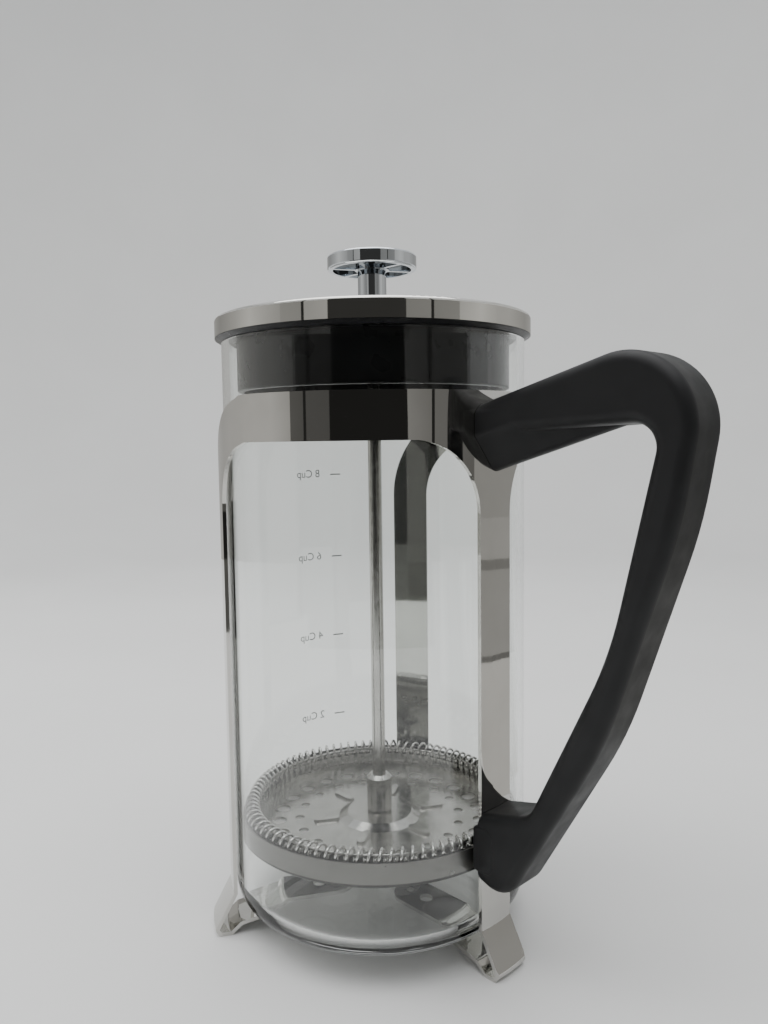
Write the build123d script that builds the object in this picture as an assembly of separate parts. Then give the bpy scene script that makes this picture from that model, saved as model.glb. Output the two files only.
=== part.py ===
from build123d import *
import math
import os

# A one-litre french press: a glass beaker in a three-legged steel frame with a black handle,
# a lid, and a plunger with a spring-edged filter. Millimetres. It is built about the beaker's
# axis with the handle along +X, and then moved so that the origin is at its bottom centre.

# Clearances
SLIDE_GAP = 0.3
FRAME_GAP = 0.8
SEAT_GAP = 0.1
REST_GAP = 0.2
THREAD_FIT = 0.05
CUT_OVER = 2.0
MATCH = 0.01

# Beaker
BEAKER_R = 49.2
BEAKER_WALL = 2.3
BEAKER_FLOOR = 3.6
BEAKER_BASE_Z = 8.2
BEAKER_HEIGHT = 183.3
BEAKER_CORNER = 8.0
BEAKER_INNER_CORNER = 6.0
SPOUT_R = 9.5
SPOUT_REACH = 6.0
SPOUT_DROP = 24.0
SPOUT_TIP_R = 2.6
SPOUT_TIP_IN_R = 0.9

# Support frame
SHEET = 1.2
SHEET_BEND = 0.9
LEG_WIDTH = 13.6
LEG_ANGLE = 120.0
BAND_DROP = 17.5
BAND_HEIGHT = 13.8
WINDOW_FILLET = 21.5
CORNER_STEPS = 8
KNEE_Z = 15.0
TOE_REACH = 6.2
TOE_FLAT = 3.4
TOE_ROUND = 1.8
FOOT_BEND = 2.2
STEP_INSET = 8.4
STEP_Z = 2.9
SHELF_INSET = 15.2
TAB_END_R = 9.5
# Distance out from the tab's end, and diameter
TAB_HOLES = ((12.0, 4.4), (5.0, 2.6))

# Handle
HANDLE_WIDTH = 17.0
HANDLE_ROUND = 3.2
HANDLE_DEPTH = 62.8
HANDLE_RISE = 8.4
HANDLE_FOOT_Z = 26.5
HANDLE_BURY = 8.0
ARM_TOP_DROP = 6.2
ARM_UNDER_DROP = 13.0
HUMP_REACH = 4.3
HUMP_RISE = 6.1
HUMP_ROUND = 19.0
# Corners of the outline, each with its shares of the handle's depth and height, and then the
# distance added to the depth, and its rounding
BACK_SHARES = ((1.0, 0.716), (0.5, 0.346))
BACK_CORNERS = ((-4.2, 130.0), (7.9, 120.0))
GRIP_SHARES = ((0.26, 0.1777), (0.715, 0.502), (1.0, 0.881))
GRIP_CORNERS = ((-0.5, 8.0), (-4.5, 110.0), (-8.8, 6.0))
FOOT_OUT = 8.3
FOOT_ROUND = 8.0
FOOT_UNDER = 6.5
FOOT_OVER = 21.8
PAD_WIDTH = 18.4
PAD_TOP_DROP = 5.0
PAD_SHOULDER_DROP = 13.5
PAD_KEEL_DROP = 26.2
PAD_TAPER = 46.8
PAD_END_WIDTH = 13.0
PAD_END_RISE = 3.0
PAD_END_SHOULDER_DROP = 3.0
PAD_END_KEEL_DROP = 11.0
PAD_ROUND = 3.0
CHEEK_WALL = 1.9
CHEEK_DEPTH = 6.7
CHEEK_LENGTH = 14.0
CHEEK_CORNER = 2.6
CHEEK_ROUND = 0.7
SCREW_SHANK_D = 3.5
SCREW_HEAD_D = 5.8
SCREW_LENGTH = 11.0
SCREW_SLOT = 4.0
INSERT_D = 6.0
INSERT_LENGTH = 8.0
INSERT_DEPTH = 0.8
UPPER_SCREW_DROP = 11.0
LOWER_SCREW_RISE = 13.7

# Lid
CAP_OVERHANG = 2.0
CAP_HEIGHT = 6.0
CAP_SHEET = 0.7
CAP_ROUND = 1.0
CAP_HOLE_R = 4.2
LIP_HEIGHT = 1.3
LIP_TAPER = 2.0
PLUG_GAP = 2.5
PLUG_DEPTH = 15.7
PLUG_WALL = 2.0
PLUG_ROUND = 0.7
LID_WEB = 3.0
GUIDE_R = 6.5
GUIDE_DEPTH = 5.0

# Knob
KNOB_R = 14.6
KNOB_THICK = 4.4
KNOB_ROUND = 0.6
KNOB_STEM_R = 4.7
KNOB_STEM = 16.4
KNOB_RECESS = 1.4
KNOB_RIM = 1.8
KNOB_RIBS = 6
KNOB_RIB = 1.4
KNOB_INSERT_R = 3.2
KNOB_INSERT_LENGTH = 12.0

# Rod and collar
ROD_R = 2.25
ROD_TAIL = 1.5
THREAD_R = 1.9
THREAD_CHAMFER = 0.5
ROD_TOP_THREAD = 9.0
COLLAR_R = 4.25
COLLAR_HEIGHT = 13.0
COLLAR_CHAMFER = 1.2
COLLAR_FOOT_CHAMFER = 0.8

# Filter
FILTER_Z = 30.8
FILTER_HEIGHT = 7.8
MESH = 0.5
MESH_ROUND = 1.6
PLATE = 0.6
RIM_INSET = 3.7
RIM_HOLE = 1.9
DISH_R = 11.0
DISH_RISE = 1.6
DISH_SLOPE = 3.0
# Distance in from the rim, and diameter
PLATE_HOLES = ((7.9, 5.0), (14.9, 3.2))
PLATE_HOLE_COUNTS = (24, 18)
RIB_COUNT = 6
RIB_LENGTH = 9.0
RIB_WIDTH = 3.0
RIB_RISE = 0.9
RIB_TAPER = 20.0
SPRING_TURNS = 64
SPRING_WIRE = 0.8
SPRING_R = 2.1
SPRING_STAND = 3.2
SPRING_ENDS = 8.0
SPRING_SIDES = 3
CROSS_INSET = 9.6
CROSS_SHEET = 0.8
# Distance in from the edge, and diameter
CROSS_HOLES = ((13.0, 17.0), (26.0, 4.5))
CROSS_HOLE_COUNT = 6
NUT_ACROSS = 8.0
NUT_HEIGHT = 3.6

# Sizes that follow
BEAKER_IN = BEAKER_R - BEAKER_WALL
BEAKER_RIM_Z = BEAKER_BASE_Z + BEAKER_HEIGHT
FRAME_IN = BEAKER_R + FRAME_GAP
FRAME_OUT = FRAME_IN + SHEET
FRAME_MID = FRAME_IN + SHEET / 2
BAND_TOP = BEAKER_RIM_Z - BAND_DROP
BAND_BOTTOM = BAND_TOP - BAND_HEIGHT
CORNER_R = WINDOW_FILLET + LEG_WIDTH
TOE_R = FRAME_OUT + TOE_REACH
STEP_R = TOE_R - STEP_INSET
SHELF_R = BEAKER_R - SHELF_INSET
SEAT_R = FRAME_OUT + SEAT_GAP
HANDLE_REACH = FRAME_OUT + HANDLE_DEPTH
HANDLE_TOP_Z = BAND_TOP + HANDLE_RISE
UPPER_SCREW_Z = BAND_TOP - UPPER_SCREW_DROP
LOWER_SCREW_Z = HANDLE_FOOT_Z + LOWER_SCREW_RISE
INSERT_R = SEAT_R + INSERT_DEPTH
CAP_R = BEAKER_R + CAP_OVERHANG
PLUG_R = BEAKER_IN - PLUG_GAP
LIP_BOTTOM_Z = BEAKER_RIM_Z + REST_GAP
CAP_BOTTOM_Z = LIP_BOTTOM_Z + LIP_HEIGHT
CAP_TOP_Z = CAP_BOTTOM_Z + CAP_HEIGHT
WEB_Z = CAP_TOP_Z - CAP_SHEET - SEAT_GAP - LID_WEB
KNOB_BASE_Z = CAP_TOP_Z + REST_GAP
KNOB_DISC_Z = KNOB_BASE_Z + KNOB_STEM
KNOB_TOP_Z = KNOB_DISC_Z + KNOB_THICK
FILTER_R = BEAKER_IN - SLIDE_GAP
FILTER_TOP_Z = FILTER_Z + FILTER_HEIGHT
PLATE_Z = FILTER_Z + MESH
DISH_TOP_Z = PLATE_Z + PLATE + DISH_RISE
RIM_R = FILTER_R - MESH - RIM_INSET
RIM_MID = RIM_R - PLATE / 2
SPRING_RING_R = FILTER_R - MESH - SLIDE_GAP - SPRING_WIRE / 2 - SPRING_R
SPRING_Z = FILTER_TOP_Z + SPRING_STAND - SPRING_R - SPRING_WIRE / 2
SPRING_PITCH = (360 - SPRING_ENDS) / SPRING_TURNS
CROSS_R = FILTER_R - CROSS_INSET
NUT_Z = FILTER_Z - CROSS_SHEET - NUT_HEIGHT


def polar(radius, degrees, z=0.0):
    a = math.radians(degrees)
    return Vector(radius * math.cos(a), radius * math.sin(a), z)


def lathe(*points):
    """Solid of revolution about the beaker's axis from (radius, height) points."""
    return revolve(Plane.XZ * make_face(Polyline(*points, close=True)), Axis.Z)


def upright(radius, z, height):
    """Cylinder on the beaker's axis."""
    return Pos(0, 0, z + height / 2) * Cylinder(radius, height)


def drilled(part, ring_r, hole_r, count, z, depth, turned=0.0):
    """Part with a ring of upright holes."""
    hole = Pos(0, 0, z) * Cylinder(hole_r, depth)
    return part - [spot * hole for spot in PolarLocations(ring_r, count, turned)]


def ring_edges(part, radius, z):
    """Circular edges of one radius at one height."""
    edges = part.edges().filter_by(GeomType.CIRCLE)
    return edges.filter_by(lambda e: abs(e.radius - radius) < MATCH and abs(e.center().Z - z) < MATCH)


# Beaker

def spout_form(radius, tip_radius, low):
    """Slanting cone that stands in the wall and leans out at the rim."""
    top = Pos(SPOUT_R - BEAKER_R - SPOUT_REACH, 0, BEAKER_RIM_Z) * Circle(radius)
    tip = Pos(SPOUT_TIP_R - BEAKER_R, 0, low) * Circle(tip_radius)
    return loft([tip, top])


def make_beaker():
    body = upright(BEAKER_R, BEAKER_BASE_Z, BEAKER_HEIGHT)
    body = fillet(ring_edges(body, BEAKER_R, BEAKER_BASE_Z), BEAKER_CORNER)
    low = BEAKER_RIM_Z - SPOUT_DROP
    body += spout_form(SPOUT_R, SPOUT_TIP_R, low)
    floor_z = BEAKER_BASE_Z + BEAKER_FLOOR
    hollow = upright(BEAKER_IN, floor_z, BEAKER_HEIGHT)
    hollow = fillet(ring_edges(hollow, BEAKER_IN, floor_z), BEAKER_INNER_CORNER)
    body -= hollow
    return body - spout_form(SPOUT_R - BEAKER_WALL, SPOUT_TIP_IN_R, low)


# Support frame

def corner_curve(radius, leg, side, turn, bend, top):
    """Quarter round on a cylinder, from the edge of a leg up to a level edge."""
    edge = leg + side * math.degrees(math.asin(LEG_WIDTH / 2 / radius))
    points = []
    for i in range(CORNER_STEPS + 1):
        phi = math.radians(90 * i / CORNER_STEPS)
        along = math.degrees(bend * (1 - math.cos(phi)) / FRAME_MID)
        points.append(polar(radius, edge + turn * along, top - bend * (1 - math.sin(phi))))
    end = edge + turn * math.degrees(bend / FRAME_MID)
    level = polar(turn, end + 90)
    return Edge.make_spline(points, tangents=[Vector(0, 0, 1), level])


def edge_wall(first_leg, second_leg, side, bend, top):
    """Radial wall up the edge of one leg, along a level edge and down the edge of another."""
    near, far = FRAME_IN - CUT_OVER, FRAME_OUT + CUT_OVER
    low = KNEE_Z - CUT_OVER
    turn = 1 if second_leg > first_leg else -1
    faces = []
    ends = []
    for leg, way in ((first_leg, turn), (second_leg, -turn)):
        inner = corner_curve(near, leg, side * way, way, bend, top)
        outer = corner_curve(far, leg, side * way, way, bend, top)
        faces.append(Face.make_surface_from_curves(inner, outer))
        a, b = inner @ 0, outer @ 0
        faces.append(Face(Wire.make_polygon([a, b, Vector(b.X, b.Y, low), Vector(a.X, a.Y, low)])))
        ends.append((inner @ 1, outer @ 1))
    (a_in, a_out), (b_in, b_out) = ends
    middle = (first_leg + second_leg) / 2
    level = [
        Edge.make_three_point_arc(a_in, polar(near, middle, top), b_in),
        Edge.make_line(b_in, b_out),
        Edge.make_three_point_arc(b_out, polar(far, middle, top), a_out),
        Edge.make_line(a_out, a_in),
    ]
    faces.append(Face(Wire(level)))
    return Shell(faces)


def band_side(sheet, wall):
    """The piece of a cut sheet that holds the band."""
    spot = polar(FRAME_MID, LEG_ANGLE / 3, BAND_TOP - BAND_HEIGHT / 2)
    pieces = [s for part in sheet.split(wall, keep=Keep.ALL) for s in part.solids()]
    return next(s for s in pieces if s.is_inside(spot))


def frame_sheet():
    """Rolled band and upright legs, with their rounded corners."""
    height = BAND_TOP + CUT_OVER - KNEE_Z
    span = 2 * LEG_ANGLE + 3 * math.degrees(LEG_WIDTH / FRAME_MID)
    strip = Plane.XZ * Pos(FRAME_MID, KNEE_Z + height / 2) * Rectangle(SHEET, height)
    sheet = (Rot(0, 0, -span / 2) * revolve(strip, Axis.Z, span)).solid()
    for leg in (LEG_ANGLE, -LEG_ANGLE):
        sheet = band_side(sheet, edge_wall(0, leg, 1, WINDOW_FILLET, BAND_BOTTOM))
    return band_side(sheet, edge_wall(-LEG_ANGLE, LEG_ANGLE, -1, CORNER_R, BAND_TOP))


def foot():
    """Flared toe and folded tab of the leg on +X, bent from the same sheet."""
    half = SHEET / 2
    shelf_z = BEAKER_BASE_Z - half
    route = FilletPolyline(
        (FRAME_MID, KNEE_Z + half),
        (FRAME_MID, KNEE_Z - SHEET),
        (TOE_R - half, FOOT_BEND),
        (TOE_R - half - FOOT_BEND / 2, half),
        (TOE_R - half - FOOT_BEND / 2 - TOE_FLAT, half),
        (STEP_R, STEP_Z + half),
        (SHELF_R + SHEET, shelf_z - SHEET),
        (SHELF_R, shelf_z),
        (TAB_END_R - CUT_OVER, shelf_z),
        radius=SHEET_BEND,
    )
    strip = Plane.XZ * trace(route, SHEET)
    swept = Rot(0, 0, -LEG_ANGLE / 2) * revolve(strip, Axis.Z, LEG_ANGLE)
    inner_end = TAB_END_R + LEG_WIDTH / 2
    outline = Pos((inner_end + TOE_R) / 2, 0) * Rectangle(TOE_R - inner_end, LEG_WIDTH)
    outline = fillet(outline.vertices().group_by(Axis.X)[-1], TOE_ROUND)
    outline += Pos(inner_end, 0) * Circle(LEG_WIDTH / 2)
    bent = swept & extrude(outline, KNEE_Z)
    for along, hole_d in TAB_HOLES:
        bent -= Pos(TAB_END_R + along, 0, shelf_z) * Cylinder(hole_d / 2, 4 * SHEET)
    return bent


def screw_cut(z):
    """Clear hole and countersink for a handle screw, from inside the frame."""
    shank = SCREW_SHANK_D / 2 + SEAT_GAP
    head = SCREW_HEAD_D / 2 + SEAT_GAP
    spot = Pos(FRAME_IN, 0, z) * Rot(0, 90, 0)
    hole = spot * Cylinder(shank, 4 * SHEET)
    sink = spot * Pos(0, 0, SHEET / 2) * Cone(head, shank, SHEET)
    return hole + sink


def make_support_frame():
    frame = Part() + frame_sheet()
    for leg in (0, LEG_ANGLE, -LEG_ANGLE):
        frame += Rot(0, 0, leg) * foot()
    return frame - screw_cut(UPPER_SCREW_Z) - screw_cut(LOWER_SCREW_Z)


# Handle

def outline_corners(shares, corners):
    """Corners of the handle's outline, with their roundings."""
    height = HANDLE_TOP_Z - HANDLE_FOOT_Z
    placed = []
    for (depth_share, height_share), (added, bend) in zip(shares, corners):
        x = FRAME_OUT + depth_share * HANDLE_DEPTH + added
        placed.append((x, HANDLE_FOOT_Z + height_share * height, bend))
    return placed


def handle_side():
    """Side view of the handle: arm from the band, hump, grip and lower end on the leg."""
    buried = FRAME_IN - HANDLE_BURY
    corners = [(buried, BAND_TOP - ARM_TOP_DROP, 0)]
    corners.append((HANDLE_REACH + HUMP_REACH, HANDLE_TOP_Z + HUMP_RISE, HUMP_ROUND))
    corners += outline_corners(BACK_SHARES, BACK_CORNERS)
    corners.append((FRAME_OUT + FOOT_OUT, HANDLE_FOOT_Z, FOOT_ROUND))
    corners.append((buried, HANDLE_FOOT_Z + FOOT_UNDER, 0))
    corners.append((buried, HANDLE_FOOT_Z + FOOT_OVER, 0))
    corners += outline_corners(GRIP_SHARES, GRIP_CORNERS)
    corners.append((buried, BAND_TOP - ARM_UNDER_DROP, 0))
    points = [(x, z) for x, z, bend in corners]
    return make_face(FilletPolyline(*points, radius=[bend for x, z, bend in corners], close=True))


def across(x, z, radius, length):
    """Cylinder along +X from a point on the handle's plane."""
    return Pos(x + length / 2, 0, z) * Rot(0, 90, 0) * Cylinder(radius, length)


def pad_section(x, width, top, shoulder, keel):
    """Shield shape across the arm: flat top, upright sides and a keel."""
    half = width / 2
    outline = ((-half, top), (half, top), (half, shoulder), (0, keel), (-half, shoulder))
    return Pos(x, 0, 0) * (Plane.YZ * make_face(FilletPolyline(*outline, radius=PAD_ROUND, close=True)))


def handle_pad():
    """Shield-shaped upper end on the band and the leg, which runs out into the arm."""
    seat = pad_section(
        FRAME_IN - CUT_OVER, PAD_WIDTH,
        BAND_TOP - PAD_TOP_DROP, BAND_TOP - PAD_SHOULDER_DROP, BAND_TOP - PAD_KEEL_DROP,
    )
    end = pad_section(
        FRAME_OUT + PAD_TAPER, PAD_END_WIDTH,
        BAND_TOP + PAD_END_RISE, BAND_TOP - PAD_END_SHOULDER_DROP, BAND_TOP - PAD_END_KEEL_DROP,
    )
    return loft([seat, end])


def handle_cheek(side):
    """Lug beside the leg at the handle's lower end."""
    face = Pos(FRAME_IN + CHEEK_DEPTH / 2 - SHEET, LOWER_SCREW_Z) * RectangleRounded(
        CHEEK_DEPTH + SHEET, CHEEK_LENGTH, CHEEK_CORNER
    )
    near = side * (LEG_WIDTH / 2 + SEAT_GAP)
    lug = Pos(0, near, 0) * extrude(Plane.XZ * face, -side * CHEEK_WALL)
    lug = fillet(lug.faces().sort_by(Axis.Y)[-1 if side > 0 else 0].edges(), CHEEK_ROUND)
    return lug - upright(FRAME_IN, 0, HANDLE_TOP_Z)


def make_handle():
    half = HANDLE_WIDTH / 2
    grip = extrude(Plane.XZ * handle_side(), half, both=True)
    rims = grip.edges().filter_by(lambda e: abs(abs(e.center().Y) - half) < MATCH)
    grip = fillet(rims.filter_by(lambda e: e.center().X > FRAME_IN - HANDLE_BURY + MATCH), HANDLE_ROUND)
    body = grip + handle_pad() - upright(SEAT_R, 0, HANDLE_TOP_Z)
    for side in (1, -1):
        body += handle_cheek(side)
    for z in (UPPER_SCREW_Z, LOWER_SCREW_Z):
        body -= across(FRAME_IN, z, SCREW_SHANK_D / 2 + SEAT_GAP, SHEET + SCREW_LENGTH)
        body -= across(INSERT_R, z, INSERT_D / 2 + THREAD_FIT, INSERT_LENGTH + 2 * THREAD_FIT)
    return body


def make_screw(z):
    head = SCREW_HEAD_D / 2
    shank = SCREW_SHANK_D / 2 - THREAD_FIT
    start = FRAME_IN + SEAT_GAP
    cone = Pos(start + SHEET / 2, 0, z) * Rot(0, 90, 0) * Cone(head, shank, SHEET)
    screw = cone + across(start, z, shank, SCREW_LENGTH)
    slot = Pos(start, 0, z) * Box(SHEET, SHEET / 2, SCREW_SLOT)
    return screw - slot


def make_inserts():
    start = INSERT_R + THREAD_FIT
    bore = SCREW_SHANK_D / 2
    tubes = Part()
    for z in (UPPER_SCREW_Z, LOWER_SCREW_Z):
        tubes += across(start, z, INSERT_D / 2, INSERT_LENGTH) - across(start, z, bore, INSERT_LENGTH)
    return tubes


# Lid

def make_lid_cap():
    inner = CAP_R - CAP_SHEET
    under = CAP_TOP_Z - CAP_SHEET
    cap = lathe(
        (CAP_HOLE_R, CAP_TOP_Z), (CAP_R, CAP_TOP_Z), (CAP_R, CAP_BOTTOM_Z),
        (inner, CAP_BOTTOM_Z), (inner, under), (CAP_HOLE_R, under),
    )
    cap = fillet(ring_edges(cap, CAP_R, CAP_TOP_Z), CAP_ROUND)
    return fillet(ring_edges(cap, inner, under), CAP_ROUND - CAP_SHEET)


def make_lid_skirt():
    body = CAP_R - CAP_SHEET - SEAT_GAP
    top = CAP_TOP_Z - CAP_SHEET - SEAT_GAP
    lip_top = CAP_BOTTOM_Z - SEAT_GAP
    hole = ROD_R + SLIDE_GAP
    plug_in = PLUG_R - PLUG_WALL
    plug_z = LIP_BOTTOM_Z - PLUG_DEPTH
    guide_z = WEB_Z - GUIDE_DEPTH
    skirt = lathe(
        (hole, top), (body - CAP_ROUND, top), (body, top - CAP_ROUND), (body, lip_top), (CAP_R, lip_top),
        (CAP_R - LIP_TAPER, LIP_BOTTOM_Z), (PLUG_R, LIP_BOTTOM_Z), (PLUG_R, plug_z), (plug_in, plug_z),
        (plug_in, WEB_Z), (GUIDE_R, WEB_Z), (GUIDE_R, guide_z), (hole, guide_z),
    )
    return fillet(ring_edges(skirt, PLUG_R, plug_z), PLUG_ROUND)


# Plunger

def make_knob():
    knob = lathe(
        (0, KNOB_BASE_Z), (KNOB_STEM_R, KNOB_BASE_Z), (KNOB_STEM_R, KNOB_DISC_Z),
        (KNOB_R, KNOB_DISC_Z), (KNOB_R, KNOB_TOP_Z), (0, KNOB_TOP_Z),
    )
    rims = ring_edges(knob, KNOB_R, KNOB_TOP_Z) + ring_edges(knob, KNOB_R, KNOB_DISC_Z)
    knob = fillet(rims, KNOB_ROUND)
    groove_in = KNOB_STEM_R + KNOB_RIM / 2
    groove_out = KNOB_R - KNOB_RIM
    groove = upright(groove_out, KNOB_DISC_Z, KNOB_RECESS) - upright(groove_in, KNOB_DISC_Z, KNOB_RECESS)
    rib = Box(groove_out - groove_in + KNOB_RIM, KNOB_RIB, KNOB_RECESS)
    rib = Pos((groove_in + groove_out) / 2, 0, KNOB_DISC_Z + KNOB_RECESS / 2) * rib
    groove -= [spot * rib for spot in PolarLocations(0, KNOB_RIBS)]
    seat = upright(KNOB_INSERT_R + THREAD_FIT, KNOB_BASE_Z, KNOB_INSERT_LENGTH + THREAD_FIT)
    return knob - groove - seat


def make_knob_insert():
    tube = upright(KNOB_INSERT_R, KNOB_BASE_Z, KNOB_INSERT_LENGTH)
    return tube - upright(THREAD_R + THREAD_FIT, KNOB_BASE_Z, KNOB_INSERT_LENGTH)


def make_rod():
    tail = NUT_Z - ROD_TAIL
    rod = upright(ROD_R, DISH_TOP_Z, KNOB_BASE_Z - DISH_TOP_Z)
    rod += upright(THREAD_R, tail, DISH_TOP_Z - tail)
    rod += upright(THREAD_R, KNOB_BASE_Z, ROD_TOP_THREAD)
    ends = ring_edges(rod, THREAD_R, tail) + ring_edges(rod, THREAD_R, KNOB_BASE_Z + ROD_TOP_THREAD)
    return chamfer(ends, THREAD_CHAMFER)


def make_collar():
    bore = ROD_R + THREAD_FIT
    base = DISH_TOP_Z
    top = base + COLLAR_HEIGHT
    return lathe(
        (bore, base), (COLLAR_R - COLLAR_FOOT_CHAMFER, base), (COLLAR_R, base + COLLAR_FOOT_CHAMFER),
        (COLLAR_R, top - COLLAR_CHAMFER), (COLLAR_R - COLLAR_CHAMFER, top), (bore, top),
    )


def make_spiral_plate():
    hole = THREAD_R + SEAT_GAP
    under = PLATE_Z
    top = PLATE_Z + PLATE
    slope_r = DISH_R + DISH_SLOPE
    rim_in = RIM_R - PLATE
    plate = lathe(
        (hole, under + DISH_RISE), (DISH_R, under + DISH_RISE), (slope_r, under),
        (RIM_R, under), (RIM_R, SPRING_Z), (rim_in, SPRING_Z), (rim_in, top),
        (slope_r, top), (DISH_R, DISH_TOP_Z), (hole, DISH_TOP_Z),
    )
    plate = fillet(ring_edges(plate, RIM_R, under), PLATE)
    rib = Pos(slope_r + RIB_LENGTH / 2, 0, top) * SlotOverall(RIB_LENGTH, RIB_WIDTH)
    plate += [spot * extrude(rib, RIB_RISE, taper=RIB_TAPER) for spot in PolarLocations(0, RIB_COUNT)]
    for (inset, hole_d), count in zip(PLATE_HOLES, PLATE_HOLE_COUNTS):
        plate = drilled(plate, RIM_R - inset, hole_d / 2, count, PLATE_Z, 8 * PLATE, 180 / count)
    inset = SPRING_RING_R - RIM_MID
    drop = math.sqrt(SPRING_R**2 - inset**2)
    phase = 0.5 + math.degrees(math.atan2(drop, inset)) / 360
    pierce = Pos(RIM_MID, 0, SPRING_Z - drop) * Box(4 * PLATE, RIM_HOLE, RIM_HOLE)
    first = SPRING_ENDS / 2 + phase * SPRING_PITCH
    return plate - [Rot(0, 0, first + i * SPRING_PITCH) * pierce for i in range(SPRING_TURNS)]


def spring_point(turns):
    """Point on the coil and its direction, after a number of turns."""
    coil = 2 * math.pi * turns
    ring = math.radians(SPRING_ENDS / 2 + SPRING_PITCH * turns)
    out = SPRING_RING_R + SPRING_R * math.cos(coil)
    point = Vector(out * math.cos(ring), out * math.sin(ring), SPRING_Z + SPRING_R * math.sin(coil))
    swing = 2 * math.pi * SPRING_R
    advance = out * math.radians(SPRING_PITCH)
    radial = -swing * math.sin(coil)
    way = Vector(
        radial * math.cos(ring) - advance * math.sin(ring),
        radial * math.sin(ring) + advance * math.cos(ring),
        swing * math.cos(coil),
    )
    return point, way.normalized()


def biarc(start, start_way, end, end_way):
    """Two tangent arcs between two points with given directions."""
    chord = end - start
    both = start_way + end_way
    spread = 2 * (1 - start_way.dot(end_way))
    lean = chord.dot(both)
    reach = (math.sqrt(lean**2 + spread * chord.dot(chord)) - lean) / spread
    near = start + start_way * reach
    far = end - end_way * reach
    joint = (near + far) / 2
    return [Edge.make_tangent_arc(start, start_way, joint), Edge.make_tangent_arc(joint, far - near, end)]


def spring_gap(samples=16):
    """Least gap between turns of the coil, on points along its middle line."""
    points = [spring_point(i / samples)[0] for i in range(SPRING_TURNS * samples + 1)]
    least = math.inf
    for i, point in enumerate(points):
        later = points[i + samples // 2:i + 2 * samples]
        least = min([least] + [(point - other).length for other in later])
    ends = (points[0] - points[-1]).length
    return min(least, ends) - SPRING_WIRE


def make_coil_spring():
    halves = [spring_point(i / 2) for i in range(2 * SPRING_TURNS + 1)]
    edges = []
    for (start, start_way), (end, end_way) in zip(halves, halves[1:]):
        edges += biarc(start, start_way, end, end_way)
    start, way = halves[0]
    section = Plane(start, z_dir=way) * RegularPolygon(SPRING_WIRE / 2, SPRING_SIDES)
    print("spring gap", round(spring_gap(), 2))
    return sweep(section, Wire(edges), clean=False)


def make_mesh_screen():
    hole = THREAD_R + SEAT_GAP
    inner = FILTER_R - MESH
    cup = lathe(
        (hole, FILTER_Z), (FILTER_R, FILTER_Z), (FILTER_R, FILTER_TOP_Z),
        (inner, FILTER_TOP_Z), (inner, PLATE_Z), (hole, PLATE_Z),
    )
    cup = fillet(ring_edges(cup, FILTER_R, FILTER_Z), MESH_ROUND)
    return fillet(ring_edges(cup, inner, PLATE_Z), MESH_ROUND - MESH)


def make_cross_plate():
    z = FILTER_Z - CROSS_SHEET
    plate = upright(CROSS_R, z, CROSS_SHEET) - upright(THREAD_R + SEAT_GAP, z, CROSS_SHEET)
    for inset, hole_d in CROSS_HOLES:
        plate = drilled(plate, CROSS_R - inset, hole_d / 2, CROSS_HOLE_COUNT, z, 4 * CROSS_SHEET)
    return plate


def make_cross_plate_nut():
    hexagon = RegularPolygon(NUT_ACROSS / 2, 6, major_radius=False)
    nut = Pos(0, 0, NUT_Z) * extrude(hexagon, NUT_HEIGHT)
    return nut - upright(THREAD_R + THREAD_FIT, NUT_Z, NUT_HEIGHT)


MAKERS = {
    "support_frame": make_support_frame,
    "handle": make_handle,
    "handle_upper_screw": lambda: make_screw(UPPER_SCREW_Z),
    "handle_lower_screw": lambda: make_screw(LOWER_SCREW_Z),
    "handle_thread_inserts": make_inserts,
    "beaker": make_beaker,
    "lid_cap": make_lid_cap,
    "lid_skirt": make_lid_skirt,
    "plunger_knob": make_knob,
    "knob_insert": make_knob_insert,
    "plunger_rod": make_rod,
    "rod_collar": make_collar,
    "spiral_plate": make_spiral_plate,
    "coil_spring": make_coil_spring,
    "mesh_screen": make_mesh_screen,
    "cross_plate": make_cross_plate,
    "cross_plate_nut": make_cross_plate_nut,
}


def main():
    os.makedirs("parts", exist_ok=True)
    nodes = {name: make() for name, make in MAKERS.items()}
    boxes = [shape.bounding_box() for shape in nodes.values()]
    left = min(box.min.X for box in boxes)
    right = max(box.max.X for box in boxes)
    middle = (left + right) / 2
    print("beaker axis at x =", round(-middle, 3))
    for name, shape in nodes.items():
        export_step(Pos(-middle, 0, 0) * shape, f"parts/{name}.step")


main()
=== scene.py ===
import math

import bmesh
import bpy
from mathutils import Matrix, Vector


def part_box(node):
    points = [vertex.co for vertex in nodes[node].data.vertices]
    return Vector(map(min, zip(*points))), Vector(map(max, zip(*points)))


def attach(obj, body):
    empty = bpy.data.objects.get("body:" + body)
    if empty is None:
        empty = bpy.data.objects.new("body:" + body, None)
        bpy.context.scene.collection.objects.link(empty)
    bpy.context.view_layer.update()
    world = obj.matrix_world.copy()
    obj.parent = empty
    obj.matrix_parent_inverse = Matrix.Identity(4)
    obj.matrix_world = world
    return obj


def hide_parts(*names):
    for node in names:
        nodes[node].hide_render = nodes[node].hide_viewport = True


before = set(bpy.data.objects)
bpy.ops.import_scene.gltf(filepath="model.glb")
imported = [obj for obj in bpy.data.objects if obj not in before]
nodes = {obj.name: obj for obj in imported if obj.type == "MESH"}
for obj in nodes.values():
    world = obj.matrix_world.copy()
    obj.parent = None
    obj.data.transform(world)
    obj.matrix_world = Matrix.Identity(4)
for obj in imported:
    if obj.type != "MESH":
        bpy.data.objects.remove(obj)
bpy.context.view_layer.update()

MM = 0.001
FULL_TURN = 2 * math.pi

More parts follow.
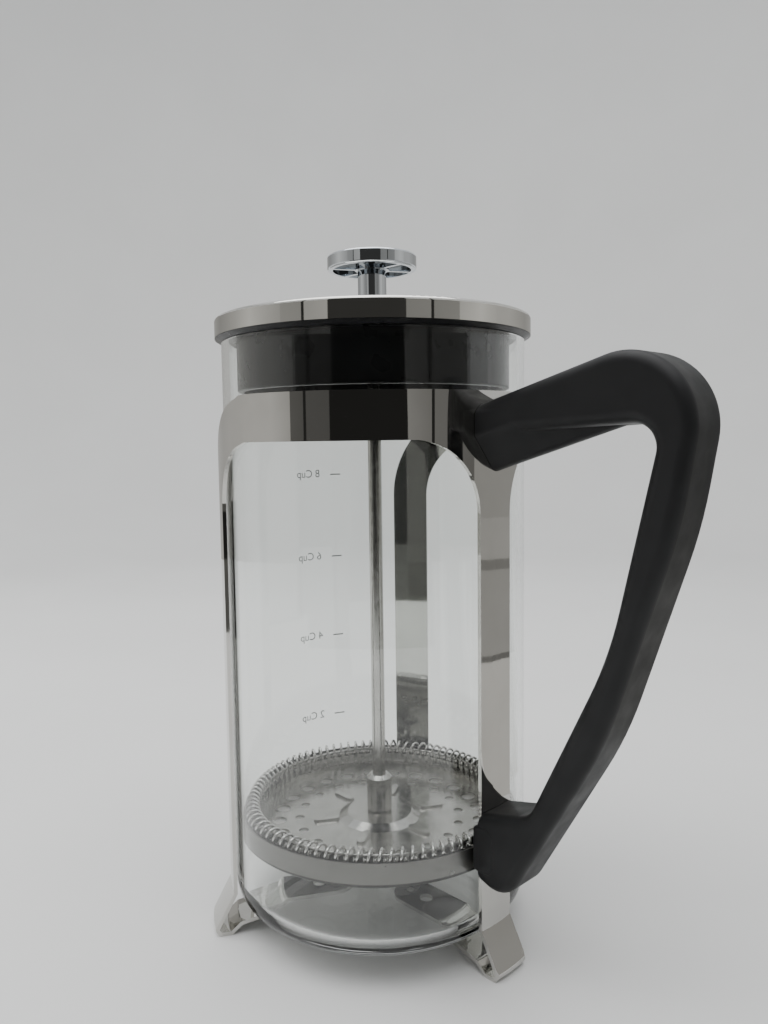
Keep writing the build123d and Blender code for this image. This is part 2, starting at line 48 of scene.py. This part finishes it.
# Camera, fitted to the photograph: pixels, millimetres and degrees
IMAGE_HEIGHT = 1024
FOCAL_PX = 815.1
CAMERA_DISTANCE = 272.6
CAMERA_HEIGHT = 159.8
CAMERA_SIDE = -43.5
CAMERA_PITCH = 4.92
CAMERA_YAW = 0.606
CAMERA_ROLL = -0.77
CAMERA_CLIP = 10.0
SENSOR = 36.0

# Places read from the frame, in millimetres
lid_low, lid_high = (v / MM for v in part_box("lid_cap"))
AXIS_X = (lid_low.x + lid_high.x) / 2
coil_low, coil_high = (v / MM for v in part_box("coil_spring"))
plate_low, plate_high = (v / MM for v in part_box("spiral_plate"))
beaker_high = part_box("beaker")[1] / MM
screen_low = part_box("mesh_screen")[0] / MM


def on_axis(radius, degrees, z):
    """Point round the beaker's axis, in metres, from millimetres and degrees from the handle."""
    a = math.radians(degrees)
    return Vector((AXIS_X + radius * math.cos(a), radius * math.sin(a), z)) * MM


# Materials

# Values of a noise between which one gloss or colour turns into the other
GLOSS_BLEND = (0.3, 0.7)
COLOUR_BLEND = (0.35, 0.65)


class Finish:
    """Principled material whose colour, gloss and surface vary with noise."""

    def __init__(self, name, colour, rough, **sockets):
        self.mat = bpy.data.materials.new(name)
        self.mat.use_nodes = True
        self.tree = self.mat.node_tree
        self.shader = self.tree.nodes["Principled BSDF"]
        self.shader.inputs["Base Color"].default_value = (*colour, 1)
        self.shader.inputs["Roughness"].default_value = rough
        for socket, value in sockets.items():
            self.shader.inputs[socket.replace("_", " ")].default_value = value
        self.colour = colour
        self.rough = rough
        self.place = self.tree.nodes.new("ShaderNodeTexCoord").outputs["Object"]

    def link(self, start, end):
        self.tree.links.new(start, end)

    def noise(self, scale, detail=3.0, stretch=(1, 1, 1)):
        """Noise output; scale is in cells per metre, and stretch draws the cells out along an axis."""
        mapping = self.tree.nodes.new("ShaderNodeMapping")
        mapping.inputs["Scale"].default_value = stretch
        self.link(self.place, mapping.inputs["Vector"])
        node = self.tree.nodes.new("ShaderNodeTexNoise")
        node.inputs["Scale"].default_value = scale
        node.inputs["Detail"].default_value = detail
        self.link(mapping.outputs["Vector"], node.inputs["Vector"])
        return node.outputs["Fac"]

    def math(self, kind, first, second=None, third=None):
        """Output of a sum; each value is a number or another output."""
        node = self.tree.nodes.new("ShaderNodeMath")
        node.operation = kind
        for socket, value in zip(node.inputs, (first, second, third)):
            if isinstance(value, (int, float)):
                socket.default_value = value
            elif value:
                self.link(value, socket)
        return node.outputs["Value"]

    def vary_gloss(self, source, spread):
        """Roughness that runs from a spread below the finish's own to a spread above it."""
        low, high = GLOSS_BLEND
        ramp = self.tree.nodes.new("ShaderNodeMapRange")
        ramp.inputs["From Min"].default_value = low
        ramp.inputs["From Max"].default_value = high
        ramp.inputs["To Min"].default_value = max(self.rough - spread, 0)
        ramp.inputs["To Max"].default_value = self.rough + spread
        self.link(source, ramp.inputs["Value"])
        self.link(ramp.outputs["Result"], self.shader.inputs["Roughness"])

    def vary_colour(self, source, other):
        """Colour that runs from another one to the finish's own."""
        ramp = self.tree.nodes.new("ShaderNodeValToRGB")
        for stop, position, colour in zip(ramp.color_ramp.elements, COLOUR_BLEND, (other, self.colour)):
            stop.position = position
            stop.color = (*colour, 1)
        self.link(source, ramp.inputs["Fac"])
        self.link(ramp.outputs["Color"], self.shader.inputs["Base Color"])

    def bump(self, source, strength, depth):
        """Surface relief of a depth in millimetres."""
        node = self.tree.nodes.new("ShaderNodeBump")
        node.inputs["Strength"].default_value = strength
        node.inputs["Distance"].default_value = depth * MM
        self.link(source, node.inputs["Height"])
        self.link(node.outputs["Normal"], self.shader.inputs["Normal"])


def polished(name, colour, rough, darker):
    """Polished metal: faint hairlines, a slightly uneven surface and uneven gloss."""
    mat = Finish(name, colour, rough, Metallic=1.0)
    mat.vary_colour(mat.noise(scale=60), darker)
    mat.vary_gloss(mat.noise(scale=900, stretch=(1, 1, 0.05)), spread=rough / 2)
    mat.bump(mat.noise(scale=25, detail=1.0), strength=0.25, depth=0.02)
    return mat.mat


def turned(name, colour, rough, darker):
    """Turned metal with fine rings along its height."""
    mat = Finish(name, colour, rough, Metallic=1.0)
    mat.vary_colour(mat.noise(scale=80), darker)
    mat.vary_gloss(mat.noise(scale=400), spread=rough / 2)
    mat.bump(mat.noise(scale=4000, detail=2.0, stretch=(0.01, 0.01, 1)), strength=0.2, depth=0.02)
    return mat.mat


def pressed(name, colour, rough, darker):
    """Pressed sheet metal, a little dull."""
    mat = Finish(name, colour, rough, Metallic=1.0)
    mat.vary_colour(mat.noise(scale=150), darker)
    mat.vary_gloss(mat.noise(scale=300), spread=rough / 3)
    mat.bump(mat.noise(scale=400, detail=2.0), strength=0.06, depth=0.02)
    return mat.mat


def moulded(name, colour, rough, lighter, shine, grain, depth):
    """Moulded plastic with a fine even grain."""
    mat = Finish(name, colour, rough, Specular_IOR_Level=shine)
    mat.vary_colour(mat.noise(scale=40), lighter)
    mat.vary_gloss(mat.noise(scale=120), spread=rough / 6)
    mat.bump(mat.noise(scale=grain, detail=2.0), strength=0.2, depth=depth)
    return mat.mat


# Wire cloth: sizes in millimetres, then its colours, with painted light on the flat part and painted
# shade at the fold, and how far up their ramp the wall reaches
WEAVE_PITCH = 0.45
# Radius inside which the flat part of the cloth gets painted light
PAINTED_LIGHT_RADIUS = 42.0
# Height of the band of painted shade at the cloth's bottom fold
PAINTED_FOLD_HEIGHT = 1.5
SCREEN_WALL = (0.25, 0.242, 0.23)
# Dark between the wires, and painted shade on the fold
SCREEN_GAP_AND_PAINTED_SHADE = (0.07, 0.068, 0.065)
# Painted light: pale colour of the flat part, standing in for light let through from below; the wall's
# wire crests run a little towards it
SCREEN_PAINTED_LIGHT = (0.85, 0.84, 0.82)
WALL_REACH = 0.5
WALL_STOP = 0.35


def woven(name):
    """Fine wire cloth: crossing wires as waves round the axis and up it, with painted light where it lies
    flat and painted shade at the fold."""
    mat = Finish(name, SCREEN_WALL, 0.35, Metallic=1.0)
    split = mat.tree.nodes.new("ShaderNodeSeparateXYZ")
    mat.link(mat.place, split.inputs["Vector"])
    centred = mat.math("SUBTRACT", split.outputs["X"], AXIS_X * MM)
    turn = mat.math("ARCTAN2", split.outputs["Y"], centred)
    waves_round = FULL_TURN * beaker_high.y / WEAVE_PITCH
    waves_up = FULL_TURN / (WEAVE_PITCH * MM)
    round_wire = mat.math("SINE", mat.math("MULTIPLY", turn, waves_round))
    up_wire = mat.math("SINE", mat.math("MULTIPLY", split.outputs["Z"], waves_up))
    cloth = mat.math("MULTIPLY", round_wire, up_wire)
    wires = mat.math("MULTIPLY_ADD", cloth, 0.5, 0.5)
    across = mat.math("MULTIPLY", centred, centred)
    reach = mat.math("MULTIPLY_ADD", split.outputs["Y"], split.outputs["Y"], across)
    # Painted light: inside this radius the flat part takes the pale colour
    flat = mat.math("LESS_THAN", reach, (PAINTED_LIGHT_RADIUS * MM) ** 2)
    # Painted shade: below this height the fold takes the dark colour
    above_painted_fold = mat.math("GREATER_THAN", split.outputs["Z"], (screen_low.z + PAINTED_FOLD_HEIGHT) * MM)
    wall = mat.math("MULTIPLY", wires, mat.math("MULTIPLY", above_painted_fold, WALL_REACH))
    tone = mat.math("MAXIMUM", wall, flat)
    ramp = mat.tree.nodes.new("ShaderNodeValToRGB")
    stops = ramp.color_ramp.elements
    stops[0].color = (*SCREEN_GAP_AND_PAINTED_SHADE, 1)
    stops[1].color = (*SCREEN_PAINTED_LIGHT, 1)
    stops.new(WALL_STOP).color = (*SCREEN_WALL, 1)
    mat.link(tone, ramp.inputs["Fac"])
    mat.link(ramp.outputs["Color"], mat.shader.inputs["Base Color"])
    mat.vary_gloss(mat.noise(scale=200), spread=0.08)
    mat.bump(wires, strength=0.5, depth=0.08)
    return mat.mat


def glass(name):
    """Clear glass with a faint green tint and a slightly wavy drawn surface."""
    mat = Finish(name, (0.975, 0.99, 0.98), 0.0, Transmission_Weight=1.0, IOR=1.47)
    mat.bump(mat.noise(scale=30, detail=1.0, stretch=(1, 1, 0.3)), strength=0.03, depth=0.02)
    return mat.mat


def print_ink(name):
    """Grey ink with a slightly mottled surface."""
    mat = Finish(name, (0.33, 0.34, 0.34), 0.6)
    mat.vary_colour(mat.noise(scale=900), (0.41, 0.42, 0.42))
    mat.vary_gloss(mat.noise(scale=400), spread=0.1)
    return mat.mat


MATERIALS = {
    "frame_steel": polished("frame_steel", (0.56, 0.55, 0.525), 0.03, (0.52, 0.51, 0.485)),
    "lid_steel": polished("lid_steel", (0.69, 0.68, 0.645), 0.03, (0.64, 0.63, 0.595)),
    "knob_chrome": polished("knob_chrome", (0.68, 0.71, 0.74), 0.03, (0.64, 0.67, 0.70)),
    "rod_steel": turned("rod_steel", (0.52, 0.51, 0.49), 0.18, (0.46, 0.45, 0.43)),
    "filter_steel": pressed("filter_steel", (0.52, 0.51, 0.49), 0.2, (0.46, 0.45, 0.43)),
    "coil_steel": pressed("coil_steel", (0.72, 0.71, 0.69), 0.14, (0.66, 0.65, 0.63)),
    # Wire cloth with painted light on its flat part and painted shade at its fold
    "screen_steel": woven("screen_steel"),
    "black_plastic": moulded(
        "black_plastic", (0.006, 0.006, 0.0065), 0.46, (0.009, 0.009, 0.0095),
        shine=0.25, grain=2500, depth=0.03,
    ),
    "lid_plastic": moulded(
        "lid_plastic", (0.004, 0.004, 0.0045), 0.3, (0.006, 0.006, 0.0065),
        shine=0.14, grain=900, depth=0.005,
    ),
    "clear_glass": glass("clear_glass"),
    "screw_steel": turned("screw_steel", (0.45, 0.45, 0.44), 0.3, (0.38, 0.38, 0.37)),
    "insert_brass": turned("insert_brass", (0.7, 0.52, 0.25), 0.3, (0.6, 0.44, 0.2)),
}


def dress(node):
    """Gives a node of the frame the finish of its material slots."""
    for slot in nodes[node].material_slots:
        slot.material = MATERIALS[slot.material.name.split(".")[0]]


# Camera

def make_camera():
    """Camera of the photograph, from its fitted place and turns."""
    data = bpy.data.cameras.new("camera")
    data.sensor_width = SENSOR
    data.lens = FOCAL_PX / IMAGE_HEIGHT * SENSOR
    data.clip_start = CAMERA_CLIP * MM
    camera = bpy.data.objects.new("camera", data)
    bpy.context.scene.collection.objects.link(camera)
    place = on_axis(CAMERA_DISTANCE, CAMERA_SIDE, CAMERA_HEIGHT)
    heading = math.radians(CAMERA_SIDE + 180 - CAMERA_YAW)
    level = Vector((math.cos(heading), math.sin(heading), 0))
    right = Vector((level.y, -level.x, 0))
    pitch = math.radians(CAMERA_PITCH)
    forward = level * math.cos(pitch) - Vector((0, 0, math.sin(pitch)))
    up = level * math.sin(pitch) + Vector((0, 0, math.cos(pitch)))
    roll = math.radians(CAMERA_ROLL)
    side = right * math.cos(roll) + up * math.sin(roll)
    top = up * math.cos(roll) - right * math.sin(roll)
    turn = Matrix((side, top, -forward)).transposed().to_4x4()
    camera.matrix_world = Matrix.Translation(place) @ turn
    bpy.context.scene.camera = camera


# Stage and light

STAGE_FLAT = 900.0
STAGE_BEND = 600.0
STAGE_WALL = 1500.0
STAGE_STEPS = 24
STAGE_TURNS = 128
STAGE_PAPER = (0.72, 0.72, 0.71)
STAGE_SHADE = (0.7, 0.7, 0.69)
CARD_RADIUS = 890.0
CARD_LIFT = 1.0
CARD_STEPS = 12
CARD_LOW = 57
CARD_MIDDLE = 215
CARD_SPLIT = 300
CARD_HIGH = 450
CARD_TOP = 650
CARD_TINT = (1.0, 0.99, 0.95)
# Standing cards: lower and upper edge, then degrees round from the camera with the grey there
WALL_CARDS = (
    (0, CARD_SPLIT, ((-165, 0.5), (-135, 0.5), (-122, 0.58), (-92, 0.68), (-74, 0.68), (-58, 0.5))),
    (0, CARD_SPLIT, ((-58, 0.15), (-48, 0.13))),
    (0, CARD_TOP, ((-48, 0.03), (-46, 0.03))),
    (0, CARD_SPLIT, ((-46, 0.125), (-29.5, 0.115))),
    (0, CARD_SPLIT, ((-29.5, 0.023), (22, 0.023))),
    (0, CARD_SPLIT, ((22, 0.31), (39, 0.24))),
    (0, CARD_TOP, ((39, 0.03), (41, 0.03))),
    (0, CARD_SPLIT, ((41, 0.22), (72, 0.18))),
    (0, CARD_LOW, ((72, 0.48), (122, 0.48))),
    (CARD_LOW, CARD_MIDDLE, ((72, 0.41), (122, 0.41))),
    (
        CARD_SPLIT, CARD_HIGH,
        ((-165, 0.4), (-135, 0.31), (-109, 0.46), (-92, 0.66), (-78, 0.52), (-64, 0.4)),
    ),
    (CARD_SPLIT, CARD_HIGH, ((-64, 0.34), (-48, 0.31))),
    (CARD_SPLIT, CARD_HIGH, ((-46, 0.4), (-29.5, 0.46))),
    (CARD_SPLIT, CARD_TOP, ((-29.5, 0.045), (22, 0.045))),
    (CARD_SPLIT, CARD_HIGH, ((22, 0.25), (39, 0.27))),
    (CARD_SPLIT, CARD_HIGH, ((41, 0.25), (60, 0.29))),
    (CARD_SPLIT, CARD_HIGH, ((60, 0.5), (78, 0.66), (92, 0.5), (108, 0.5), (135, 0.34), (165, 0.4))),
)
# Lying cards: inner and outer radius, then as above
FLOOR_CARDS = (
    (560, CARD_RADIUS, ((-58, 0.13), (-50, 0.13))),
    (440, CARD_RADIUS, ((-50, 0.13), (41, 0.13))),
    (150, 380, ((72, 0.7), (122, 0.7))),
    (380, 397, ((72, 0.2), (122, 0.2))),
    (397, 800, ((72, 0.43), (122, 0.43))),
    (800, CARD_RADIUS, ((72, 0.27), (122, 0.27))),
)
SKY_COLOUR = (0.9, 0.92, 0.95)
SKY_STRENGTH = 1.0
LIGHT_AIM = 100.0
# Lights: radius, degrees and height of the place, then the sides in metres and the watts
TOP_LIGHT = ((100, -90, 1100), 1.2, 11)
LEFT_LIGHT = ((900, -135, 600), 0.8, 5)


def link_mesh(name, verts, faces, mat):
    """Smooth mesh object of one material, in the scene."""
    mesh = bpy.data.meshes.new(name)
    mesh.from_pydata(verts, [], faces)
    mesh.polygons.foreach_set("use_smooth", [True] * len(mesh.polygons))
    mesh.materials.append(mat)
    thing = bpy.data.objects.new(name, mesh)
    bpy.context.scene.collection.objects.link(thing)
    return thing


def make_stage():
    """Pale round sweep: a flat floor that curves up into a wall."""
    profile = [(0.0, 0.0), (STAGE_FLAT, 0.0)]
    for i in range(1, STAGE_STEPS + 1):
        a = math.pi / 2 * i / STAGE_STEPS
        profile.append((STAGE_FLAT + STAGE_BEND * math.sin(a), STAGE_BEND * (1 - math.cos(a))))
    profile.append((STAGE_FLAT + STAGE_BEND, STAGE_WALL))
    verts = []
    faces = []
    for r, z in profile:
        for j in range(STAGE_TURNS):
            verts.append(on_axis(r, 360 * j / STAGE_TURNS, z))
    for i in range(len(profile) - 1):
        low, high = i * STAGE_TURNS, (i + 1) * STAGE_TURNS
        for j in range(STAGE_TURNS):
            k = (j + 1) % STAGE_TURNS
            faces.append((low + j, low + k, high + k, high + j))
    paper = Finish("stage_paper", STAGE_PAPER, 0.9)
    paper.vary_colour(paper.noise(scale=6), STAGE_SHADE)
    paper.bump(paper.noise(scale=3, detail=2.0), strength=0.5, depth=12)
    link_mesh("stage", verts, faces, paper.mat)


def mirrored_only(name):
    """Glow of the mesh's own greys for rays that have met a shiny surface, and clear for all others."""
    mat = bpy.data.materials.new(name)
    mat.use_nodes = True
    mat.cycles.emission_sampling = "NONE"
    tree = mat.node_tree
    tree.nodes.clear()
    greys = tree.nodes.new("ShaderNodeVertexColor")
    greys.layer_name = "glow"
    lamp = tree.nodes.new("ShaderNodeEmission")
    clear = tree.nodes.new("ShaderNodeBsdfTransparent")
    path = tree.nodes.new("ShaderNodeLightPath")
    mix = tree.nodes.new("ShaderNodeMixShader")
    out = tree.nodes.new("ShaderNodeOutputMaterial")
    tree.links.new(greys.outputs["Color"], lamp.inputs["Color"])
    tree.links.new(path.outputs["Glossy Depth"], mix.inputs["Fac"])
    tree.links.new(clear.outputs["BSDF"], mix.inputs[1])
    tree.links.new(lamp.outputs["Emission"], mix.inputs[2])
    tree.links.new(mix.outputs["Shader"], out.inputs["Surface"])
    return mat


def make_card(name, stops, edges, mat):
    """Card between two edges, each a radius and a height, whose grey runs from stop to stop."""
    verts = []
    glow = []
    for (start, first), (end, last) in zip(stops, stops[1:]):
        for i in range(CARD_STEPS + 1):
            share = i / CARD_STEPS
            angle = CAMERA_SIDE + start + (end - start) * share
            grey = first + (last - first) * share
            verts += [on_axis(r, angle, z) for r, z in edges]
            glow += [*(grey * tint for tint in CARD_TINT), 1] * len(edges)
    faces = [(k, k + 2, k + 3, k + 1) for k in range(0, len(verts) - 2, 2)]
    card = link_mesh(name, verts, faces, mat)
    card.data.color_attributes.new("glow", "FLOAT_COLOR", "POINT").data.foreach_set("color", glow)
    card.visible_camera = False
    card.visible_diffuse = False
    card.visible_shadow = False


def make_cards():
    """The room in front of the light tent and the tent's panels, as the steel mirrors them."""
    mat = mirrored_only("card_glow")
    for number, (low, high, stops) in enumerate(WALL_CARDS):
        make_card(f"wall_card_{number}", stops, ((CARD_RADIUS, low), (CARD_RADIUS, high)), mat)
    for number, (inner, outer, stops) in enumerate(FLOOR_CARDS):
        make_card(f"floor_card_{number}", stops, ((inner, CARD_LIFT), (outer, CARD_LIFT)), mat)


def square_light(name, place, side, watts):
    """Square light that faces the press."""
    data = bpy.data.lights.new(name, "AREA")
    data.shape = "SQUARE"
    data.size = side
    data.energy = watts
    light = bpy.data.objects.new(name, data)
    bpy.context.scene.collection.objects.link(light)
    light.location = on_axis(*place)
    aim = on_axis(0, 0, LIGHT_AIM) - light.location
    light.rotation_euler = aim.to_track_quat("-Z", "Y").to_euler()
    return light


def make_lights():
    """Pale sky, a light above, and one on the left that no mirror or glass shows."""
    world = bpy.data.worlds.new("world")
    world.use_nodes = True
    sky = world.node_tree.nodes["Background"]
    sky.inputs["Color"].default_value = (*SKY_COLOUR, 1)
    sky.inputs["Strength"].default_value = SKY_STRENGTH
    bpy.context.scene.world = world
    square_light("top", *TOP_LIGHT)
    left = square_light("left", *LEFT_LIGHT)
    left.visible_glossy = False
    left.visible_transmission = False


# Filter: the coil has finer turns than the frame's, so the plate's pierced rim is made to suit

COIL_TURNS = 88
COIL_RING_R = 43.3
COIL_R = 2.1
COIL_WIRE = 0.9
COIL_ENDS = 8.0
COIL_STEPS = 20
COIL_NUDGE = 0.01
WIRE_SIDES = 8
COIL_Z = (coil_low.z + coil_high.z) / 2
COIL_PITCH = (360 - COIL_ENDS) / COIL_TURNS
PLATE_SHEET = 0.6
RIM_OUT = (plate_high.y - plate_low.y) / 2
RIM_IN = RIM_OUT - PLATE_SHEET
RIM_TOP = plate_high.z
RIM_BASE = plate_low.z + PLATE_SHEET
RIM_CUT = 0.05
RIM_HOLE = 1.4
SHARP_EDGE = 30.0


def coil_angle(turns):
    """Degrees round the beaker's axis after some turns of the coil."""
    return COIL_ENDS / 2 + COIL_PITCH * turns


def coil_centre(turns):
    """Point on the coil's middle line, in metres."""
    a = FULL_TURN * turns
    return on_axis(COIL_RING_R + COIL_R * math.cos(a), coil_angle(turns), COIL_Z + COIL_R * math.sin(a))


def make_coil():
    """Round wire wound through the plate's rim, with closed ends."""
    count = COIL_TURNS * COIL_STEPS
    verts = []
    for i in range(count + 1):
        turns = i / COIL_STEPS
        point = coil_centre(turns)
        way = (coil_centre(turns + COIL_NUDGE) - coil_centre(turns - COIL_NUDGE)).normalized()
        hub = on_axis(COIL_RING_R, coil_angle(turns), COIL_Z)
        out = (point - hub).normalized()
        out = (out - way * out.dot(way)).normalized()
        side = way.cross(out)
        for j in range(WIRE_SIDES):
            a = FULL_TURN * j / WIRE_SIDES
            verts.append(point + (out * math.cos(a) + side * math.sin(a)) * (COIL_WIRE / 2 * MM))
    faces = []
    for i in range(count):
        low, high = i * WIRE_SIDES, (i + 1) * WIRE_SIDES
        for j in range(WIRE_SIDES):
            k = (j + 1) % WIRE_SIDES
            faces.append((low + j, low + k, high + k, high + j))
    faces.append(tuple(range(WIRE_SIDES))[::-1])
    faces.append(tuple(count * WIRE_SIDES + j for j in range(WIRE_SIDES)))
    piece = link_mesh("coil_spring_wire", verts, faces, MATERIALS["coil_steel"])
    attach(piece, "plunger")
    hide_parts("coil_spring")


def rim_cells():
    """Angles that part the rim, each with whether the span after it is pierced, and the holes' height."""
    inset = COIL_RING_R - (RIM_IN + RIM_OUT) / 2
    drop = math.sqrt(COIL_R**2 - inset**2)
    phase = 0.5 + math.degrees(math.atan2(drop, inset)) / 360
    half = math.degrees(RIM_HOLE / 2 / RIM_OUT)
    cells = []
    for i in range(COIL_TURNS):
        middle = coil_angle(phase + i)
        cells += [(middle - half, True), (middle + half, False)]
    cells.append((cells[0][0] + 360 - COIL_PITCH, False))
    return cells, COIL_Z - drop


def make_plate():
    """The frame's plate below its rim, with a new rim pierced for the finer coil."""
    node = nodes["spiral_plate"]
    mesh = bmesh.new()
    mesh.from_mesh(node.data)
    mesh.transform(node.matrix_world)
    axis = Vector((AXIS_X * MM, 0))

    def in_rim(vert):
        outside = (vert.co.xy - axis).length > (RIM_IN - RIM_CUT) * MM
        return outside and vert.co.z > (RIM_BASE + RIM_CUT) * MM

    rim = [face for face in mesh.faces if any(in_rim(vert) for vert in face.verts)]
    bmesh.ops.delete(mesh, geom=rim, context="FACES")
    cells, hole_z = rim_cells()
    levels = (RIM_BASE - PLATE_SHEET / 2, hole_z - RIM_HOLE / 2, hole_z + RIM_HOLE / 2, RIM_TOP)

    def columns(radius):
        return [[mesh.verts.new(on_axis(radius, angle, z)) for z in levels] for angle, pierced in cells]

    outer = columns(RIM_OUT)
    inner = columns(RIM_IN)
    for i, (angle, pierced) in enumerate(cells):
        k = (i + 1) % len(cells)
        for j in range(len(levels) - 1):
            if pierced and j == 1:
                mesh.faces.new((outer[i][1], outer[k][1], inner[k][1], inner[i][1]))
                mesh.faces.new((outer[i][2], inner[i][2], inner[k][2], outer[k][2]))
                mesh.faces.new((outer[i][1], inner[i][1], inner[i][2], outer[i][2]))
                mesh.faces.new((outer[k][1], outer[k][2], inner[k][2], inner[k][1]))
                continue
            mesh.faces.new((outer[i][j], outer[k][j], outer[k][j + 1], outer[i][j + 1]))
            mesh.faces.new((inner[i][j], inner[i][j + 1], inner[k][j + 1], inner[k][j]))
        mesh.faces.new((outer[i][-1], outer[k][-1], inner[k][-1], inner[i][-1]))
    for face in mesh.faces:
        face.smooth = True
    for edge in mesh.edges:
        edge.smooth = edge.calc_face_angle(0) < math.radians(SHARP_EDGE)
    data = bpy.data.meshes.new("spiral_plate_pierced")
    mesh.to_mesh(data)
    mesh.free()
    data.materials.append(MATERIALS["filter_steel"])
    piece = bpy.data.objects.new("spiral_plate_pierced", data)
    bpy.context.scene.collection.objects.link(piece)
    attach(piece, "plunger")
    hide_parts("spiral_plate")


# Cup marks printed on the outside of the beaker: cups and height, then degrees and millimetres

MARKS = ((8, 147.5), (6, 115.5), (4, 84.2), (2, 52.4))
MARK_START = 153.0
MARK_LENGTH = 4.2
MARK_WEIGHT = 0.45
TEXT_START = 163.0
TEXT_SIZE = 4.2
INK_LIFT = 0.02
INK_STEPS = 6


def wrapped(x, y, start, z):
    """Point on the beaker's outside from a flat one in millimetres, read from outside."""
    radius = beaker_high.y + INK_LIFT
    return on_axis(radius, start + math.degrees(x / radius), z + y)


def text_mesh(words):
    """Flat points in millimetres and faces of a line of text."""
    curve = bpy.data.curves.new("words", "FONT")
    curve.body = words
    curve.size = TEXT_SIZE
    thing = bpy.data.objects.new("words", curve)
    mesh = bpy.data.meshes.new_from_object(thing)
    points = [tuple(vert.co.xy) for vert in mesh.vertices]
    faces = [tuple(face.vertices) for face in mesh.polygons]
    bpy.data.objects.remove(thing)
    bpy.data.curves.remove(curve)
    bpy.data.meshes.remove(mesh)
    return points, faces


def make_marks():
    """A tick and its number of cups at each height."""
    ink = print_ink("print_ink")
    for cups, z in MARKS:
        points, faces = text_mesh(f"{cups} Cup")
        heights = [y for x, y in points]
        middle = (min(heights) + max(heights)) / 2
        verts = [wrapped(x, y - middle, TEXT_START, z) for x, y in points]
        first = len(verts)
        for i in range(INK_STEPS + 1):
            along = MARK_LENGTH * i / INK_STEPS
            for up in (-MARK_WEIGHT / 2, MARK_WEIGHT / 2):
                verts.append(wrapped(along, up, MARK_START, z))
        for i in range(INK_STEPS):
            k = first + 2 * i
            faces.append((k, k + 2, k + 3, k + 1))
        piece = link_mesh(f"cup_mark_{cups}", verts, faces, ink)
        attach(piece, "beaker")


make_camera()
make_stage()
make_cards()
make_lights()
for node in nodes:
    dress(node)
make_coil()
make_plate()
make_marks()
